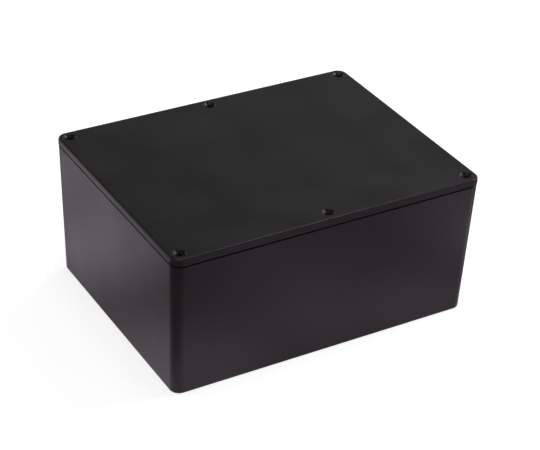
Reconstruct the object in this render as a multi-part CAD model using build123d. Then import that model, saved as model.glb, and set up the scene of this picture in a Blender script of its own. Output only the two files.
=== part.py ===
from build123d import *
from math import cos, radians, sin, sqrt, tan
import os

# Die cast aluminium enclosure: a deep tapered box, a gasketed lid and six countersunk lid screws.
# Millimetres. X runs along the length, -Y is the front, Z is up. The origin is the middle of the underside.

# Overall size
length = 260.0
width = 200.0
height = 118.4

# Cast box
corner_radius = 7.8
side_draft = 1.4
wall = 3.2
floor_thickness = 3.2
base_edge_radius = 1.2
rim_edge_chamfer = 0.4
inner_corner_fillet = 2.0
floor_chamfer = 1.6

# Screw bosses and their tapped holes
screw_inset = 8.6
middle_screw_inset = 9.2
boss_radius = 6.5
boss_draft = 0.7
thread_clearance = 0.1
tapped_depth = 20.0

# Board guide ribs inside the walls
guide_pitch = 32.0
long_wall_guides = (-3, -2, -1, 1, 2, 3)
short_wall_guides = (-2, -1, 0, 1, 2)
board_slot = 2.0
rib_width = 1.6
rib_height = 1.8
rib_draft = 8.0
rib_top_below_rim = 12.0
rib_root = 0.5

# Cast lid
lid_side_height = 5.85
lid_edge_radius = 1.5
lid_draft = 1.0
lid_plate = 3.0
lid_overhang = 0.2
lip_depth = 2.5
lip_thickness = 2.2
lip_clearance = 0.4
lip_corner_cut = 1.2
pocket_chamfer = 1.0
seam_gap = 0.9

# Gasket strip in the groove under the lid's rim
gasket_offset = 0.5
gasket_width = 1.6
groove_depth = 1.5
groove_clearance = 0.1

# Countersunk lid screws, M3.5, and their holes in the lid
thread_radius = 1.75
screw_hole_clearance = 0.25
sink_radius = 4.9
sink_angle = 90.0
head_radius = 3.25
head_seat_clearance = 0.1
screw_length = 20.0
recess_span = 3.6
recess_slot = 0.9
recess_depth = 1.2

# Two points closer than this are the same place
same_place = 0.01

# Places that follow from the sizes above
rim_z = height - lid_side_height - seam_gap
land_z = height - lid_side_height
plate_z = height - lid_plate
box_length = length - 2 * lid_overhang
box_width = width - 2 * lid_overhang
screw_x = length / 2 - screw_inset
screw_y = width / 2 - screw_inset
middle_screw_y = width / 2 - middle_screw_inset
screw_places = {
    "front_left": (-screw_x, -screw_y),
    "front_middle": (0.0, -middle_screw_y),
    "front_right": (screw_x, -screw_y),
    "back_left": (-screw_x, screw_y),
    "back_middle": (0.0, middle_screw_y),
    "back_right": (screw_x, screw_y),
}


def side(value):
    """Which side of the middle a coordinate lies on: -1, 0 or 1."""
    return (value > 0) - (value < 0)


def lean(drop, draft):
    """How far a face with this draft moves sideways over a drop."""
    return drop * tan(radians(draft))


def narrowing_down(plan, top, drop, draft):
    """A solid below the plane z = top that its draft narrows towards the bottom."""
    return Pos(0, 0, top) * Rot(180, 0, 0) * extrude(plan, drop, taper=draft)


def box_plan(inset):
    """The box's outline at its rim, moved inwards by inset."""
    return RectangleRounded(box_length - 2 * inset, box_width - 2 * inset, corner_radius - inset)


def boss_plan(place, radius):
    """A boss from above: round about its screw towards the middle, square into the walls."""
    x, y = place
    reach = 2 * (screw_inset + middle_screw_inset)
    out = reach / 2 - radius
    if side(x) == 0:
        return Pos(x, y + side(y) * out) * SlotOverall(reach, 2 * radius, rotation=90)
    return Pos(x + side(x) * out, y + side(y) * out) * RectangleRounded(reach, reach, radius)


def meets_wall(point, inset):
    """True where a point of the rim lies on a wall's face at this inset."""
    gap_x = box_length / 2 - inset - abs(point.X)
    gap_y = box_width / 2 - inset - abs(point.Y)
    return min(abs(gap_x), abs(gap_y)) < same_place


def rises(edge):
    """True for an edge that climbs, as the box's corners do."""
    return abs(edge.start_point().Z - edge.end_point().Z) > same_place


def top_end(edge):
    """The higher end of an edge."""
    return max(edge.start_point(), edge.end_point(), key=lambda point: point.Z)


def mouth_plan(grow):
    """The outline of the box's mouth, round the bosses too, moved outwards by grow."""
    plan = box_plan(wall - grow)
    for place in screw_places.values():
        plan -= boss_plan(place, boss_radius - grow)
    roots = [v for v in plan.vertices() if meets_wall(v, wall - grow)]
    return chamfer(roots, lip_corner_cut)


def band_plan(inner, outer):
    """A band that follows the mouth of the cavity, between two distances out from it."""
    return mouth_plan(outer) - mouth_plan(inner)


def cavity():
    """The hollow of the box: drafted walls and floor, with the drafted bosses standing in it."""
    depth = rim_z - floor_thickness
    hollow = narrowing_down(box_plan(wall), rim_z, depth, side_draft)
    foot_radius = boss_radius + lean(rim_z, boss_draft)
    for place in screw_places.values():
        hollow -= extrude(boss_plan(place, foot_radius), rim_z + wall, taper=boss_draft)
    roots = [e for e in hollow.edges() if rises(e) and meets_wall(top_end(e), wall)]
    hollow = fillet(roots, inner_corner_fillet)
    return chamfer(hollow.faces().sort_by(Axis.Z)[0].edges(), floor_chamfer)


def tapped_hole(place):
    """A blind cored hole in a boss, at the thread's outer size."""
    x, y = place
    hole = Cylinder(thread_radius + thread_clearance, tapped_depth)
    return Pos(x, y, rim_z - tapped_depth / 2) * hole


def wall_ribs(distance, guides):
    """Pairs of ribs up the inside of a wall at this distance, on the -Y side."""
    normal = (0, cos(radians(side_draft)), sin(radians(side_draft)))
    face = Plane(origin=(0, -distance, rim_z), x_dir=(1, 0, 0), z_dir=normal)
    bottom = (rim_z - floor_thickness) / cos(radians(side_draft)) + floor_thickness / 2
    rib_length = bottom - rib_top_below_rim
    half_step = (board_slot + rib_width) / 2
    middles = [(g * guide_pitch + s * half_step, bottom - rib_length / 2) for g in guides for s in (-1, 1)]
    plan = Sketch() + [Pos(x, y) * Rectangle(rib_width, rib_length) for x, y in middles]
    return extrude(face.offset(-rib_root) * plan, rib_height + rib_root, taper=rib_draft)


def guide_ribs():
    """The board guides on all four walls."""
    long_side = wall_ribs(box_width / 2 - wall, long_wall_guides)
    short_side = Rot(0, 0, 90) * wall_ribs(box_length / 2 - wall, short_wall_guides)
    return [long_side, Rot(0, 0, 180) * long_side, short_side, Rot(0, 0, 180) * short_side]


def make_box_body():
    """The cast box: one tapered tub with bosses, guide ribs and tapped holes."""
    outside = narrowing_down(Rectangle(box_length, box_width), rim_z, rim_z, side_draft)
    outside = fillet([e for e in outside.edges() if rises(e)], corner_radius)
    outside = fillet(outside.faces().sort_by(Axis.Z)[0].edges(), base_edge_radius)
    outside = chamfer(outside.faces().sort_by(Axis.Z)[-1].edges(), rim_edge_chamfer)
    body = outside - cavity()
    body += guide_ribs()
    body -= [tapped_hole(place) for place in screw_places.values()]
    return body


def lid_hole(place):
    """A screw hole through the lid with its countersink."""
    x, y = place
    radius = thread_radius + screw_hole_clearance
    sink = (sink_radius - radius) / tan(radians(sink_angle / 2))
    hole = Pos(0, 0, -lid_side_height / 2) * Cylinder(radius, lid_side_height)
    hole += Pos(0, 0, -sink / 2) * Cone(radius, sink_radius, sink)
    return Pos(x, y, height) * hole


def make_lid():
    """The cast lid: a plate with a thick rim, a lip inside the box's mouth and a gasket groove."""
    lid_plan = RectangleRounded(length, width, corner_radius)
    lid = Pos(0, 0, land_z) * extrude(lid_plan, lid_side_height, taper=lid_draft)
    lid = fillet(lid.faces().sort_by(Axis.Z)[-1].edges(), lid_edge_radius)
    lid = chamfer(lid.faces().sort_by(Axis.Z)[0].edges(), rim_edge_chamfer)
    lip_bottom = rim_z - lip_depth
    lid += Pos(0, 0, lip_bottom) * extrude(mouth_plan(-lip_clearance), land_z - lip_bottom)
    pocket = Pos(0, 0, lip_bottom) * extrude(mouth_plan(-lip_clearance - lip_thickness), plate_z - lip_bottom)
    pocket = chamfer(pocket.faces().sort_by(Axis.Z)[-1].edges(), pocket_chamfer)
    lid -= pocket
    inner = gasket_offset - groove_clearance
    outer = gasket_offset + gasket_width + groove_clearance
    lid -= Pos(0, 0, land_z) * extrude(band_plan(inner, outer), groove_depth)
    lid -= [lid_hole(place) for place in screw_places.values()]
    return lid


def make_gasket():
    """The rubber strip: it fills the groove and stands out of it to close the seam."""
    strip = band_plan(gasket_offset, gasket_offset + gasket_width)
    return Pos(0, 0, rim_z) * extrude(strip, seam_gap + groove_depth)


def make_screw(place):
    """One countersunk screw with a cross recess, seated in the lid."""
    x, y = place
    slope = tan(radians(sink_angle / 2))
    seat_drop = (sink_radius - head_radius) / slope
    lift = head_seat_clearance * sqrt(1 + slope**2) / slope
    head_top = height - seat_drop + lift
    neck = (head_radius - thread_radius) / slope
    outline = Polyline(
        (0, 0),
        (head_radius, 0),
        (thread_radius, -neck),
        (thread_radius, -screw_length),
        (0, -screw_length),
        close=True,
    )
    screw = revolve(Plane.XZ * make_face(outline), Axis.Z)
    arm = Rectangle(recess_span, recess_slot)
    cross = arm + Rot(0, 0, 90) * arm
    screw -= extrude(cross, -recess_depth)
    return Pos(x, y, head_top) * screw


def write(name, shape):
    """Writes one piece to its own file."""
    export_step(shape, f"parts/{name}.step")


os.makedirs("parts", exist_ok=True)
write("box_body", make_box_body())
write("lid", make_lid())
write("gasket", make_gasket())
for screw_name, screw_place in screw_places.items():
    write(f"lid_screw_{screw_name}", make_screw(screw_place))
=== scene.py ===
from math import cos, pi, radians, sin

import bmesh
import bpy
from mathutils import Matrix, Vector


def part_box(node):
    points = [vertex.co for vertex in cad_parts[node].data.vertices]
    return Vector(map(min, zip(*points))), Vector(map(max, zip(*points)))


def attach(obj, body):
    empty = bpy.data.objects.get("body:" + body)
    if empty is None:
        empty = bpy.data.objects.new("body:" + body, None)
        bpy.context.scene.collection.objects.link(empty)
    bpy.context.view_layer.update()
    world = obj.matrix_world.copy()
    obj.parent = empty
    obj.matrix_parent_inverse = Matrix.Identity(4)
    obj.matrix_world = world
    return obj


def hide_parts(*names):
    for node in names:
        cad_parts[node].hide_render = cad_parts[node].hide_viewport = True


# Die cast aluminium enclosure in black powder coat, with a gasketed lid and six countersunk screws.
# Lengths named in millimetres are turned to metres by mm. X runs along the box, -Y is its front.
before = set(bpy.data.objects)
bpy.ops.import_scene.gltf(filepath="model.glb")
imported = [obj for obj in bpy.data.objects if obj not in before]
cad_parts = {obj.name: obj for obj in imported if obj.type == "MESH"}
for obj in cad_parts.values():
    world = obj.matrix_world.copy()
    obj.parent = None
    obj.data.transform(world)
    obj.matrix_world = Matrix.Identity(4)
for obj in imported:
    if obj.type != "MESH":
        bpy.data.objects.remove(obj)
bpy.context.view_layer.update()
mm = 0.001

# The photograph's frame and the camera that was found from the box's corners in it
photo_width = 540
focal_length_pixels = 1749.82
sensor_width = 36.0
camera_azimuth = radians(-31.396)
camera_elevation = radians(31.991)
camera_roll = radians(2.701)
camera_distance = 1367.6 * mm
camera_aside = -5.756 * mm
camera_rise = -7.023 * mm
aim_height = 48.148 * mm
clip_near, clip_far = 0.01, 50

# Lid screws, M3.5 countersunk. All sizes in this and the next three tables are in millimetres. Heights run up
# from the head's face here, from the box's rim for the holes and from the pressed face for the pin marks.
screw_names = ("front_left", "front_middle", "front_right", "back_left", "back_middle", "back_right")
screw_sizes = {
    "Face Radius": 3.02,
    "Head Radius": 3.1,
    "Edge Height": -0.08,
    "Land Height": -0.15,
    "Neck Radius": 1.75,
    "Neck Height": -1.5,
    "Core Radius": 1.4,
    "Point Height": -19.4,
    "Point Radius": 1.0,
    "End Height": -20.0,
    "Crest Radius": 1.72,
    "Pitch": 0.6,
    "Thread Height": -19.6,
    "Thread Length": 17.7,
    "Recess Span": 3.6,
    "Recess Slot": 0.9,
    "Recess Depth": 1.1,
}

# The recess is this share of its span at its floor. Its second bar is cut a little deeper than the first, so
# that no two of their faces lie in one plane.
recess_floor_share = 0.5
second_bar_stretch = 1.04

# Tapped holes in the box's bosses, lined with bare metal down to their floor
hole_sizes = {
    "Wall Radius": 1.845,
    "Core Radius": 1.83,
    "Top Height": -0.02,
    "Floor Height": -19.8,
    "End Height": -19.95,
    "Crest Radius": 1.78,
    "Pitch": 0.6,
    "Thread Height": -19.5,
    "Thread Length": 19.2,
}

# A thread's ridge: half its width at root and crest as shares of the pitch. It shrinks to thread_end of its
# size over thread_fade of its length at both ends.
thread_root = 0.45
thread_crest = 0.08
thread_fade = 0.03
thread_end = 0.05

# The gasket's strip, and its run: straight along the walls and round the bosses
gasket_sizes = {
    "Strip Width": 1.6,
    "Strip Height": 2.4,
    "Strip Edge": 0.5,
}
gasket_reach = (127.9, 97.9)
corner_screw = (121.4, 91.4)
middle_screw = 90.8
gasket_turn = 5.19
gasket_bend = 1.0
gasket_root = 1.2
gasket_middle = 112.85

# The two quarter turns round a middle screw bend by just under their full radius, to keep their ends apart
nearly_full = 0.999

# Round marks that the die's ejector pins leave on the floor and under the lid
pin_sizes = {
    "Face Radius": 3.9,
    "Pin Radius": 4.0,
    "Face Height": 0.15,
    "Edge Height": 0.05,
    "Root Height": -0.2,
}
floor_top = 3.2
lid_underside = 115.4
floor_pins = [(x, y, floor_top) for x in (-90, -30, 30, 90) for y in (-62, 62)]
lid_pins = [(x, y, lid_underside) for x in (-85, 0, 85) for y in (-55, 55)]

# How finely round shapes are drawn, how near two points are one, and from which angle an edge is sharp
turned_steps = 48
pin_steps = 40
thread_steps = 24
bend_steps = 10
strip_edge_steps = 4
same_place = 0.002
crease_angle = radians(35)

# Softboxes: each one's place and side in metres and its power in watts. All of them face lamp_aim.
lamp_aim = (0, 0, 0.06)
softboxes = {
    "right_softbox": ((1.167, -0.227, 0.975), 0.42, 5.2),
    "overhead_softbox": ((-0.15, -0.05, 1.56), 0.8, 5.2),
    "back_softbox": ((0.669, 0.541, 1.289), 0.3, 2.0),
}

# The surroundings' light at the horizon and overhead, which starts at sky_fade_height on a sphere of radius 1
sky_at_horizon = 1.3
sky_overhead = 0.08
sky_fade_height = 0.5

# The paper: a disc with its radius in metres and its drop below the box in millimetres, and its own glow
floor_radius = 6.0
floor_corners = 96
floor_drop = 0.1
paper_glow = 0.75

# How white gloss sees the painted glow on the paper: a painted pool of light close to the box, and the level
# from the fade distance, in millimetres outside the box, on
box_half = (130, 100)
painted_glow_close = 0.38
painted_glow_far = 0.17
painted_glow_fade = 110

# Soft patches of light on the paper that only gloss sees: x, y and reach in millimetres, and how much white
# each adds in its middle. They were set until the walls' reflections looked like the photograph's.
# These patches are painted light: a glow on the paper that the walls show as painted reflections.
painted_light_patches = (
    (-178, 114, 102, 0.6),
    (-200, 185, 90, 0.3),
    (-225, 245, 120, 0.75),
    (-140, -50, 72, 0.2),
    (-95, -125, 90, 0.5),
    (20, -160, 106, 0.4),
    (105, -115, 75, 0.3),
    (200, -205, 140, 0.36),
    (240, -160, 106, 0.8),
    (40, -340, 180, 0.4),
)

# Sockets of the Mix node, which has one set for numbers and one for colours
number_a, number_b = 2, 3
colour_a, colour_b, mixed_colour = 6, 7, 2


def linear(colour):
    """A colour written as sRGB hex, such as 1c1b1d, as the linear colour that a shader takes."""
    parts = [int(colour[i:i + 2], 16) / 255 for i in (0, 2, 4)]
    return [c / 12.92 if c <= 0.04045 else ((c + 0.055) / 1.055) ** 2.4 for c in parts] + [1.0]


def add_node(tree, kind, inputs=(), **settings):
    """Adds one node: settings are its properties, and inputs feed its sockets with values or links."""
    made = tree.nodes.new(kind)
    for name, value in settings.items():
        setattr(made, name, value)
    for name, value in dict(inputs).items():
        if isinstance(value, bpy.types.NodeSocket):
            tree.links.new(value, made.inputs[name])
        else:
            made.inputs[name].default_value = value
    return made


def new_material(name):
    """An empty material and its node tree."""
    made = bpy.data.materials.new(name)
    made.use_nodes = True
    made.node_tree.nodes.clear()
    return made, made.node_tree


def finish_surface(tree, shader):
    """Links a shader to the material's surface."""
    add_node(tree, "ShaderNodeOutputMaterial", {"Surface": shader.outputs[0]})


def powder_coat():
    """Polyester powder coat, baked on a casting: satin near-black, with fine orange peel and faint clouds."""
    cloud_size, peel_size, grain_size = 55 * mm, 2.4 * mm, 0.5 * mm
    material, tree = new_material("black_polyester_powder_coat_satin")
    place = add_node(tree, "ShaderNodeTexCoord").outputs["Object"]
    cloud = add_node(tree, "ShaderNodeTexNoise", {"Vector": place, "Scale": 1 / cloud_size, "Detail": 2.0})
    peel = add_node(tree, "ShaderNodeTexNoise", {"Vector": place, "Scale": 1 / peel_size, "Detail": 2.0})
    grain = add_node(tree, "ShaderNodeTexNoise", {"Vector": place, "Scale": 1 / grain_size, "Detail": 2.0})
    shade = add_node(tree, "ShaderNodeMix", {
        "Factor": cloud.outputs[0], colour_a: linear("141315"), colour_b: linear("1d1b1d"),
    }, data_type="RGBA")
    # The die's face isn't quite flat and the coat's thickness wanders, which makes the reflections cloudy
    even = add_node(tree, "ShaderNodeMapRange", {
        "Value": cloud.outputs[0], "From Min": 0.35, "From Max": 0.65, "To Min": 0.28, "To Max": 0.33,
    })
    gloss = add_node(tree, "ShaderNodeMapRange", {"Value": grain.outputs[0], "To Min": -0.03, "To Max": 0.05})
    gloss = add_node(tree, "ShaderNodeMath", {0: even.outputs[0], 1: gloss.outputs[0]}, operation="ADD")
    edge = add_node(tree, "ShaderNodeBevel", {"Radius": 0.25 * mm}, samples=4)
    wave = add_node(tree, "ShaderNodeBump", {
        "Height": cloud.outputs[0], "Strength": 0.6, "Distance": 0.36 * mm, "Normal": edge.outputs[0],
    })
    low = add_node(tree, "ShaderNodeBump", {
        "Height": peel.outputs[0], "Strength": 0.25, "Distance": 0.012 * mm, "Normal": wave.outputs[0],
    })
    fine = add_node(tree, "ShaderNodeBump", {
        "Height": grain.outputs[0], "Strength": 0.25, "Distance": 0.006 * mm, "Normal": low.outputs[0],
    })
    # The reflections in the photograph lean a little to magenta
    finish_surface(tree, add_node(tree, "ShaderNodeBsdfPrincipled", {
        "Base Color": shade.outputs[mixed_colour], "Roughness": gloss.outputs[0], "IOR": 1.5,
        "Specular IOR Level": 0.4, "Specular Tint": [1.0, 0.89, 0.98, 1.0], "Normal": fine.outputs[0],
    }))
    return material


def moulded_rubber():
    """Neoprene, moulded: deep matt black with a faint grey bloom and a fine die grain."""
    bloom_size, grain_size = 9 * mm, 0.25 * mm
    material, tree = new_material("black_neoprene_moulded")
    place = add_node(tree, "ShaderNodeTexCoord").outputs["Object"]
    bloom = add_node(tree, "ShaderNodeTexNoise", {"Vector": place, "Scale": 1 / bloom_size, "Detail": 3.0})
    grain = add_node(tree, "ShaderNodeTexNoise", {"Vector": place, "Scale": 1 / grain_size, "Detail": 2.0})
    shade = add_node(tree, "ShaderNodeMix", {
        "Factor": bloom.outputs[0], colour_a: linear("121213"), colour_b: linear("222223"),
    }, data_type="RGBA")
    gloss = add_node(tree, "ShaderNodeMapRange", {"Value": bloom.outputs[0], "To Min": 0.7, "To Max": 0.85})
    bump = add_node(tree, "ShaderNodeBump", {
        "Height": grain.outputs[0], "Strength": 0.4, "Distance": 0.02 * mm,
    })
    finish_surface(tree, add_node(tree, "ShaderNodeBsdfPrincipled", {
        "Base Color": shade.outputs[mixed_colour], "Roughness": gloss.outputs[0], "Specular IOR Level": 0.3,
        "Normal": bump.outputs[0],
    }))
    return material


def black_oxide_steel():
    """Steel, cold headed and black oxide dipped: dark grey, dull, with a faint oily unevenness."""
    film_size, grit_size = 1.5 * mm, 0.12 * mm
    material, tree = new_material("steel_black_oxide_dipped")
    place = add_node(tree, "ShaderNodeTexCoord").outputs["Object"]
    film = add_node(tree, "ShaderNodeTexNoise", {"Vector": place, "Scale": 1 / film_size, "Detail": 3.0})
    grit = add_node(tree, "ShaderNodeTexNoise", {"Vector": place, "Scale": 1 / grit_size, "Detail": 2.0})
    shade = add_node(tree, "ShaderNodeMix", {
        "Factor": film.outputs[0], colour_a: linear("1d1c1f"), colour_b: linear("2a292c"),
    }, data_type="RGBA")
    gloss = add_node(tree, "ShaderNodeMapRange", {"Value": film.outputs[0], "To Min": 0.42, "To Max": 0.58})
    bump = add_node(tree, "ShaderNodeBump", {
        "Height": grit.outputs[0], "Strength": 0.3, "Distance": 0.01 * mm,
    })
    finish_surface(tree, add_node(tree, "ShaderNodeBsdfPrincipled", {
        "Base Color": shade.outputs[mixed_colour], "Metallic": 1.0, "Roughness": gloss.outputs[0],
        "Normal": bump.outputs[0],
    }))
    return material


def tapped_aluminium():
    """Cast aluminium, bare where the tap cut it: bright silver grey, with cutting lines round the hole."""
    cut_size = 0.4 * mm
    material, tree = new_material("aluminium_bare_tapped")
    place = add_node(tree, "ShaderNodeTexCoord").outputs["Object"]
    # Cutting lines are finer than the eye sees at this size, so they are drawn 0.1 mm apart
    lines = add_node(tree, "ShaderNodeMapping", {"Vector": place, "Scale": (0.2, 0.2, 4.0)})
    cuts = add_node(tree, "ShaderNodeTexNoise", {
        "Vector": lines.outputs[0], "Scale": 1 / cut_size, "Detail": 2.0,
    })
    shade = add_node(tree, "ShaderNodeMix", {
        "Factor": cuts.outputs[0], colour_a: linear("a9abad"), colour_b: linear("cfd1d3"),
    }, data_type="RGBA")
    gloss = add_node(tree, "ShaderNodeMapRange", {"Value": cuts.outputs[0], "To Min": 0.22, "To Max": 0.4})
    bump = add_node(tree, "ShaderNodeBump", {
        "Height": cuts.outputs[0], "Strength": 0.2, "Distance": 0.01 * mm,
    })
    finish_surface(tree, add_node(tree, "ShaderNodeBsdfPrincipled", {
        "Base Color": shade.outputs[mixed_colour], "Metallic": 1.0, "Roughness": gloss.outputs[0],
        "Normal": bump.outputs[0],
    }))
    return material


def paper_floor():
    """White background paper, matt: white to the camera, with the box's soft shadow kept. Gloss sees painted
    light on it instead: a painted glow, lighter near the box and in patches.
    """
    material, tree = new_material("white_background_paper_matt")
    place = add_node(tree, "ShaderNodeTexCoord").outputs["Object"]
    rays = add_node(tree, "ShaderNodeLightPath").outputs
    # Gloss sees the paper as a painted glow, dimmer than the camera does, with painted light close to the box
    # and in the patches, which the walls show as painted reflections. The levels were fitted to the walls in
    # the photograph, and how the real paper was lit isn't known.
    beside = add_node(tree, "ShaderNodeVectorMath", {0: place}, operation="ABSOLUTE")
    beside = add_node(tree, "ShaderNodeVectorMath", {
        0: beside.outputs[0], 1: (box_half[0] * mm, box_half[1] * mm, 0),
    }, operation="SUBTRACT")
    beside = add_node(tree, "ShaderNodeVectorMath", {0: beside.outputs[0], 1: (0, 0, 0)}, operation="MAXIMUM")
    beside = add_node(tree, "ShaderNodeVectorMath", {0: beside.outputs[0]}, operation="LENGTH")
    level = add_node(tree, "ShaderNodeMapRange", {
        "Value": beside.outputs["Value"], "From Max": painted_glow_fade * mm,
        "To Min": painted_glow_close, "To Max": painted_glow_far,
    }, interpolation_type="SMOOTHSTEP")
    for x, y, reach, strength in painted_light_patches:
        apart = add_node(tree, "ShaderNodeVectorMath", {
            0: place, 1: (x * mm, y * mm, 0),
        }, operation="DISTANCE")
        patch = add_node(tree, "ShaderNodeMapRange", {
            "Value": apart.outputs["Value"], "From Max": reach * mm, "To Min": strength, "To Max": 0.0,
        }, interpolation_type="SMOOTHSTEP")
        level = add_node(tree, "ShaderNodeMath", {0: level.outputs[0], 1: patch.outputs[0]}, operation="ADD")
    # The painted glow itself, tinted a little pink, which gloss sees in place of the lit paper
    painted_reflection_glow = add_node(tree, "ShaderNodeEmission", {
        "Color": linear("fff3fb"), "Strength": level.outputs[0],
    })
    glow = add_node(tree, "ShaderNodeMath", {0: rays["Is Camera Ray"], 1: paper_glow}, operation="MULTIPLY")
    shown = add_node(tree, "ShaderNodeEmission", {"Color": linear("ffffff"), "Strength": glow.outputs[0]})
    paper = add_node(tree, "ShaderNodeBsdfDiffuse", {"Color": linear("dadada")})
    lit = add_node(tree, "ShaderNodeAddShader", {0: shown.outputs[0], 1: paper.outputs[0]})
    in_gloss = add_node(tree, "ShaderNodeMath", {
        0: rays["Is Glossy Ray"], 1: rays["Is Transmission Ray"],
    }, operation="MAXIMUM")
    above = add_node(tree, "ShaderNodeMixShader", {
        0: in_gloss.outputs[0], 1: lit.outputs[0], 2: painted_reflection_glow.outputs[0],
    })
    # From below the paper is clear, so that the box's underside can be looked at
    below = add_node(tree, "ShaderNodeNewGeometry").outputs["Backfacing"]
    clear = add_node(tree, "ShaderNodeBsdfTransparent")
    finish_surface(tree, add_node(tree, "ShaderNodeMixShader", {
        0: below, 1: above.outputs[0], 2: clear.outputs[0],
    }))
    return material


def new_tree(name, sizes):
    """A Geometry Nodes tree with an input for each size. Returns the tree and its inputs by name."""
    tree = bpy.data.node_groups.new(name, "GeometryNodeTree")
    tree.interface.new_socket("Shape", in_out="OUTPUT", socket_type="NodeSocketGeometry")
    tree.interface.new_socket("Run", in_out="INPUT", socket_type="NodeSocketGeometry")
    for size in sizes:
        tree.interface.new_socket(size, in_out="INPUT", socket_type="NodeSocketFloat")
    tree.interface.new_socket("Finish", in_out="INPUT", socket_type="NodeSocketMaterial")
    return tree, add_node(tree, "NodeGroupInput").outputs


def end_tree(tree, shape, finish):
    """Ends a tree in real faces of one finish."""
    real = add_node(tree, "GeometryNodeRealizeInstances", {"Geometry": shape})
    done = add_node(tree, "GeometryNodeSetMaterial", {"Geometry": real.outputs[0], "Material": finish})
    add_node(tree, "NodeGroupOutput", {"Shape": done.outputs[0]})


def turned(tree, outline, around):
    """A closed turned solid about Z: each row of a grid takes one radius and height of the outline."""
    rows = len(outline)
    grid = add_node(tree, "GeometryNodeMeshGrid", {
        "Size X": 1.0, "Size Y": 1.0, "Vertices X": around + 1, "Vertices Y": rows,
    })
    index = add_node(tree, "GeometryNodeInputIndex").outputs[0]
    row = add_node(tree, "FunctionNodeIntegerMath", {0: index, 1: rows}, operation="MODULO")
    column = add_node(tree, "FunctionNodeIntegerMath", {0: index, 1: rows}, operation="DIVIDE_FLOOR")
    measures = []
    for values in zip(*outline):
        step = add_node(tree, "GeometryNodeIndexSwitch", {"Index": row.outputs[0]}, data_type="FLOAT")
        # A new switch has two items already
        for _ in range(rows - 2):
            step.index_switch_items.new()
        for number, value in enumerate(values):
            if value:
                tree.links.new(value, step.inputs[number + 1])
        measures.append(step.outputs[0])
    angle = add_node(tree, "ShaderNodeMath", {0: column.outputs[0], 1: 2 * pi / around}, operation="MULTIPLY")
    place = add_node(tree, "ShaderNodeCombineXYZ", {"X": measures[0], "Z": measures[1]})
    swung = add_node(tree, "ShaderNodeVectorRotate", {
        "Vector": place.outputs[0], "Angle": angle.outputs[0],
    }, rotation_type="Z_AXIS")
    formed = add_node(tree, "GeometryNodeSetPosition", {
        "Geometry": grid.outputs[0], "Position": swung.outputs[0],
    })
    closed = add_node(tree, "GeometryNodeMergeByDistance", {
        "Geometry": formed.outputs[0], "Distance": same_place * mm,
    })
    return add_node(tree, "GeometryNodeFlipFaces", {"Mesh": closed.outputs[0]}).outputs[0]


def thread(tree, size, way):
    """A right-handed thread's ridge on its core, rising outwards with way 1 and inwards with way -1."""
    turns = add_node(tree, "ShaderNodeMath", {0: size["Thread Length"], 1: size["Pitch"]}, operation="DIVIDE")
    helix = add_node(tree, "GeometryNodeCurveSpiral", {
        "Resolution": thread_steps, "Rotations": turns.outputs[0], "Start Radius": size["Core Radius"],
        "End Radius": size["Core Radius"], "Height": size["Thread Length"], "Reverse": True,
    })
    upright = add_node(tree, "GeometryNodeSetCurveNormal", {"Curve": helix.outputs[0]}, mode="Z_UP")
    rise = add_node(tree, "ShaderNodeMath", {
        0: size["Crest Radius"], 1: size["Core Radius"],
    }, operation="SUBTRACT")
    profile = ((-thread_root, 0), (-thread_crest, 1), (thread_crest, 1), (thread_root, 0))
    corners = {}
    for number, (share, out) in enumerate(profile):
        high = add_node(tree, "ShaderNodeMath", {0: size["Pitch"], 1: share * way}, operation="MULTIPLY")
        deep = add_node(tree, "ShaderNodeMath", {0: rise.outputs[0], 1: out}, operation="MULTIPLY")
        corner = add_node(tree, "ShaderNodeCombineXYZ", {"X": deep.outputs[0], "Y": high.outputs[0]})
        corners[f"Point {number + 1}"] = corner.outputs[0]
    ridge = add_node(tree, "GeometryNodeCurvePrimitiveQuadrilateral", corners, mode="POINTS")
    along = add_node(tree, "GeometryNodeSplineParameter").outputs["Factor"]
    to_end = add_node(tree, "ShaderNodeMath", {0: along, 1: 0.5}, operation="PINGPONG")
    fade = add_node(tree, "ShaderNodeMapRange", {
        "Value": to_end.outputs[0], "From Max": thread_fade, "To Min": thread_end,
    })
    wound = add_node(tree, "GeometryNodeCurveToMesh", {
        "Curve": upright.outputs[0], "Profile Curve": ridge.outputs[0], "Scale": fade.outputs[0],
        "Fill Caps": True,
    })
    bottom = add_node(tree, "ShaderNodeCombineXYZ", {"Z": size["Thread Height"]})
    return add_node(tree, "GeometryNodeTransform", {
        "Geometry": wound.outputs[0], "Translation": bottom.outputs[0],
    }).outputs[0]


def set_out(tree, size, shapes):
    """Joins shapes and sets them at each point of the run."""
    joined = add_node(tree, "GeometryNodeJoinGeometry")
    for shape in shapes:
        tree.links.new(shape, joined.inputs[0])
    placed = add_node(tree, "GeometryNodeInstanceOnPoints", {
        "Points": size["Run"], "Instance": joined.outputs[0],
    })
    end_tree(tree, placed.outputs[0], size["Finish"])


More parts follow.
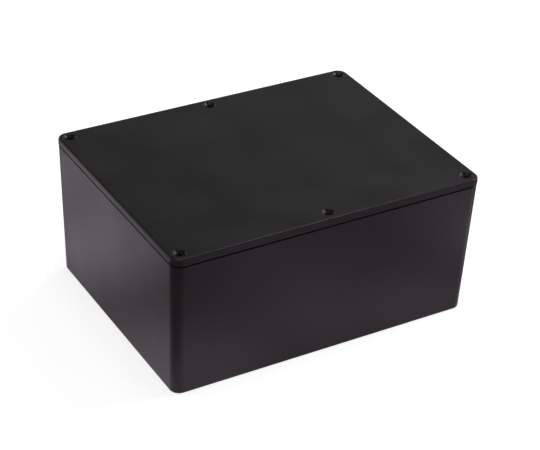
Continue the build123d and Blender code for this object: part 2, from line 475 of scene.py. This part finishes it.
def screw_tree():
    """Countersunk screw: a turned head and core, a cross recess that narrows downwards, and its thread."""
    tree, size = new_tree("countersunk_screw", screw_sizes)
    shaft = turned(tree, [
        (0, 0),
        (size["Face Radius"], 0),
        (size["Head Radius"], size["Edge Height"]),
        (size["Head Radius"], size["Land Height"]),
        (size["Neck Radius"], size["Neck Height"]),
        (size["Core Radius"], size["Neck Height"]),
        (size["Core Radius"], size["Point Height"]),
        (size["Point Radius"], size["End Height"]),
        (0, size["End Height"]),
    ], turned_steps)
    # Each bar reaches as far above the face as below it, and has its real span at the face
    depth = add_node(tree, "ShaderNodeMath", {0: size["Recess Depth"], 1: 2.0}, operation="MULTIPLY")
    block = add_node(tree, "ShaderNodeCombineXYZ", {
        "X": size["Recess Span"], "Y": size["Recess Slot"], "Z": depth.outputs[0],
    })
    bar = add_node(tree, "GeometryNodeMeshCube", {"Size": block.outputs[0]})
    place = add_node(tree, "GeometryNodeInputPosition").outputs[0]
    height = add_node(tree, "ShaderNodeSeparateXYZ", {"Vector": place}).outputs["Z"]
    share = add_node(tree, "ShaderNodeMath", {0: height, 1: size["Recess Depth"]}, operation="DIVIDE")
    taper = add_node(tree, "ShaderNodeMapRange", {
        "Value": share.outputs[0], "From Min": -1.0,
        "To Min": recess_floor_share, "To Max": 2 - recess_floor_share,
    })
    narrow = add_node(tree, "ShaderNodeCombineXYZ", {"X": taper.outputs[0], "Y": 1.0, "Z": 1.0})
    narrowed = add_node(tree, "ShaderNodeVectorMath", {0: place, 1: narrow.outputs[0]}, operation="MULTIPLY")
    bar = add_node(tree, "GeometryNodeSetPosition", {
        "Geometry": bar.outputs[0], "Position": narrowed.outputs[0],
    })
    crossing = add_node(tree, "GeometryNodeTransform", {
        "Geometry": bar.outputs[0], "Rotation": (0, 0, pi / 2), "Scale": (1, 1, second_bar_stretch),
    })
    for cutter in (bar, crossing):
        shaft = add_node(tree, "GeometryNodeMeshBoolean", {
            "Mesh 1": shaft, "Mesh 2": cutter.outputs[0],
        }, operation="DIFFERENCE").outputs[0]
    set_out(tree, size, [shaft, thread(tree, size, 1)])
    return tree


def hole_tree():
    """The bare metal skin of a tapped blind hole, with its thread."""
    tree, size = new_tree("tapped_hole_skin", hole_sizes)
    skin = turned(tree, [
        (0, size["Floor Height"]),
        (size["Core Radius"], size["Floor Height"]),
        (size["Core Radius"], size["Top Height"]),
        (size["Wall Radius"], size["Top Height"]),
        (size["Wall Radius"], size["End Height"]),
        (0, size["End Height"]),
    ], turned_steps)
    set_out(tree, size, [skin, thread(tree, size, -1)])
    return tree


def pin_tree():
    """A low round mark with a soft edge, where an ejector pin pushed the casting out of its die."""
    tree, size = new_tree("ejector_pin_mark", pin_sizes)
    mark = turned(tree, [
        (0, size["Face Height"]),
        (size["Face Radius"], size["Face Height"]),
        (size["Pin Radius"], size["Edge Height"]),
        (size["Pin Radius"], size["Root Height"]),
        (0, size["Root Height"]),
    ], pin_steps)
    set_out(tree, size, [mark])
    return tree


def gasket_tree():
    """A strip with rounded edges that follows its run, which bends by each point's own radius."""
    tree, size = new_tree("gasket_strip", gasket_sizes)
    bend = add_node(tree, "GeometryNodeInputNamedAttribute", {"Name": "bend"}, data_type="FLOAT")
    run = add_node(tree, "GeometryNodeMeshToCurve", {"Mesh": size["Run"]})
    run = add_node(tree, "GeometryNodeFilletCurve", {
        "Curve": run.outputs[0], "Radius": bend.outputs[0], "Count": bend_steps,
    }, mode="POLY")
    run = add_node(tree, "GeometryNodeSetCurveNormal", {"Curve": run.outputs[0]}, mode="Z_UP")
    section = add_node(tree, "GeometryNodeCurvePrimitiveQuadrilateral", {
        "Width": size["Strip Width"], "Height": size["Strip Height"],
    })
    section = add_node(tree, "GeometryNodeFilletCurve", {
        "Curve": section.outputs[0], "Radius": size["Strip Edge"], "Count": strip_edge_steps,
    }, mode="POLY")
    strip = add_node(tree, "GeometryNodeCurveToMesh", {
        "Curve": run.outputs[0], "Profile Curve": section.outputs[0],
    })
    end_tree(tree, strip.outputs[0], size["Finish"])
    return tree


def gasket_run():
    """The corners of the gasket's run, anticlockwise in millimetres, each with the radius it bends by."""
    far_x, far_y = gasket_reach
    in_x, in_y = corner_screw[0] - gasket_turn, corner_screw[1] - gasket_turn
    quarter = [
        (far_x, in_y - gasket_root, gasket_bend),
        (far_x - gasket_root, in_y, gasket_bend),
        (in_x, in_y, gasket_turn),
        (in_x, far_y - gasket_root, gasket_bend),
        (in_x - gasket_root, far_y, gasket_bend),
        (gasket_turn + gasket_root, far_y, gasket_bend),
        (gasket_turn, far_y - gasket_root, gasket_bend),
        (gasket_turn, middle_screw - gasket_turn, nearly_full * gasket_turn),
    ]
    half = quarter + [(-x, y, bend) for x, y, bend in reversed(quarter)]
    return half + [(-x, -y, bend) for x, y, bend in half]


def modelled(name, tree, mesh, sizes, finish, body):
    """Runs a tree on a mesh of points in millimetres, and keeps the result as a plain mesh on its body."""
    mesh.transform(Matrix.Scale(mm, 4))
    piece = bpy.data.objects.new(name, mesh)
    shaping = piece.modifiers.new("shape", "NODES")
    shaping.node_group = tree
    for socket in tree.interface.items_tree:
        if socket.name in sizes:
            shaping[socket.identifier] = sizes[socket.name] * mm
        elif socket.name == "Finish":
            shaping[socket.identifier] = finish
    bpy.context.scene.collection.objects.link(piece)
    shape = piece.evaluated_get(bpy.context.evaluated_depsgraph_get())
    made = bpy.data.meshes.new_from_object(shape)
    made.name = name
    piece.modifiers.remove(shaping)
    piece.data = made
    made.shade_smooth()
    made.set_sharp_from_angle(angle=crease_angle)
    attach(piece, body)
    return piece


def points(places):
    """A mesh of loose points."""
    mesh = bpy.data.meshes.new("points")
    mesh.from_pydata(places, [], [])
    return mesh


def make_gasket(finish):
    """The gasket, on the lid, in place of its plain solid."""
    run = gasket_run()
    corners = [(x, y, gasket_middle) for x, y, _ in run]
    sides = [(n, (n + 1) % len(run)) for n in range(len(run))]
    mesh = bpy.data.meshes.new("run")
    mesh.from_pydata(corners, sides, [])
    bends = mesh.attributes.new("bend", "FLOAT", "POINT")
    bends.data.foreach_set("value", [bend * mm for _, _, bend in run])
    strip = modelled("gasket_strip", gasket_tree(), mesh, gasket_sizes, finish, "lid")
    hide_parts("gasket")


def make_screws(finish):
    """The six lid screws, each on its own body in place of its plain solid."""
    tree = screw_tree()
    for name in screw_names:
        low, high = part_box(f"lid_screw_{name}")
        top = ((low.x + high.x) / 2 / mm, (low.y + high.y) / 2 / mm, high.z / mm)
        screw = modelled(f"screw_{name}", tree, points([top]), screw_sizes, finish, f"screw_{name}")
        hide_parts(f"lid_screw_{name}")


def make_tapped_holes(finish):
    """The bare skins of the six tapped holes in the box's bosses."""
    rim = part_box("box_body")[1].z / mm
    places = []
    for name in screw_names:
        low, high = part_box(f"lid_screw_{name}")
        places.append(((low.x + high.x) / 2 / mm, (low.y + high.y) / 2 / mm, rim))
    modelled("tapped_hole_skins", hole_tree(), points(places), hole_sizes, finish, "box")


def make_pin_marks(finish):
    """The ejector pin marks on the box's floor, and under the lid, where they are turned upside down."""
    tree = pin_tree()
    on_floor = modelled("floor_pin_marks", tree, points(floor_pins), pin_sizes, finish, "box")
    turned_over = [(x, -y, -z) for x, y, z in lid_pins]
    under_lid = modelled("lid_pin_marks", tree, points(turned_over), pin_sizes, finish, "lid")
    under_lid.data.transform(Matrix.Rotation(pi, 4, "X"))


def make_camera():
    """The camera at the photograph's place, turned a little on its own axis as the photograph is."""
    across = Vector((cos(camera_azimuth), sin(camera_azimuth), 0))
    back = Vector((
        sin(camera_azimuth) * cos(camera_elevation),
        -cos(camera_azimuth) * cos(camera_elevation),
        sin(camera_elevation),
    ))
    rise = back.cross(across)
    right = cos(camera_roll) * across + sin(camera_roll) * rise
    up = cos(camera_roll) * rise - sin(camera_roll) * across
    place = Vector((0, 0, aim_height)) - camera_aside * right - camera_rise * up + camera_distance * back
    data = bpy.data.cameras.new("camera")
    data.sensor_width = sensor_width
    data.lens = sensor_width * focal_length_pixels / photo_width
    data.clip_start, data.clip_end = clip_near, clip_far
    camera = bpy.data.objects.new("camera", data)
    turn = Matrix((right, up, back)).transposed()
    camera.matrix_world = Matrix.Translation(place) @ turn.to_4x4()
    bpy.context.scene.collection.objects.link(camera)
    bpy.context.scene.camera = camera


def make_lamp(name, place, size, watts):
    """A square softbox that faces the box."""
    data = bpy.data.lights.new(name, "AREA")
    data.size = size
    data.energy = watts
    lamp = bpy.data.objects.new(name, data)
    lamp.location = place
    lamp.rotation_mode = "QUATERNION"
    lamp.rotation_quaternion = (Vector(place) - Vector(lamp_aim)).to_track_quat("Z", "Y")
    bpy.context.scene.collection.objects.link(lamp)


def make_world():
    """Studio surroundings: white to the camera, and in the light pale near the ground and dark overhead."""
    world = bpy.data.worlds.new("studio")
    world.use_nodes = True
    tree = world.node_tree
    tree.nodes.clear()
    way = add_node(tree, "ShaderNodeTexCoord").outputs["Generated"]
    height = add_node(tree, "ShaderNodeSeparateXYZ", {"Vector": way}).outputs["Z"]
    level = add_node(tree, "ShaderNodeMapRange", {
        "Value": height, "From Max": sky_fade_height, "To Min": sky_at_horizon, "To Max": sky_overhead,
    }, interpolation_type="SMOOTHSTEP")
    seen = add_node(tree, "ShaderNodeLightPath").outputs["Is Camera Ray"]
    shown = add_node(tree, "ShaderNodeMix", {"Factor": seen, number_a: level.outputs[0], number_b: 1.0})
    sky = add_node(tree, "ShaderNodeBackground", {"Color": linear("ffffff"), "Strength": shown.outputs[0]})
    add_node(tree, "ShaderNodeOutputWorld", {"Surface": sky.outputs[0]})
    bpy.context.scene.world = world


def make_floor():
    """The paper that the box stands on, a hair lower than its underside so that the two faces stay apart."""
    mesh = bpy.data.meshes.new("floor")
    shape = bmesh.new()
    drop = Matrix.Translation((0, 0, -floor_drop * mm))
    bmesh.ops.create_circle(shape, cap_ends=True, segments=floor_corners, radius=floor_radius, matrix=drop)
    shape.to_mesh(mesh)
    shape.free()
    floor = bpy.data.objects.new("floor", mesh)
    mesh.materials.append(paper_floor())
    bpy.context.scene.collection.objects.link(floor)


make_camera()
make_world()
make_floor()
for lamp_name, (lamp_place, lamp_size, lamp_watts) in softboxes.items():
    make_lamp(lamp_name, lamp_place, lamp_size, lamp_watts)

coat = powder_coat()
for node in ("box_body", "lid"):
    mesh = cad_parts[node].data
    mesh.materials.clear()
    mesh.materials.append(coat)
make_gasket(moulded_rubber())
make_screws(black_oxide_steel())
make_tapped_holes(tapped_aluminium())
make_pin_marks(coat)

bpy.context.scene.view_settings.view_transform = "Standard"
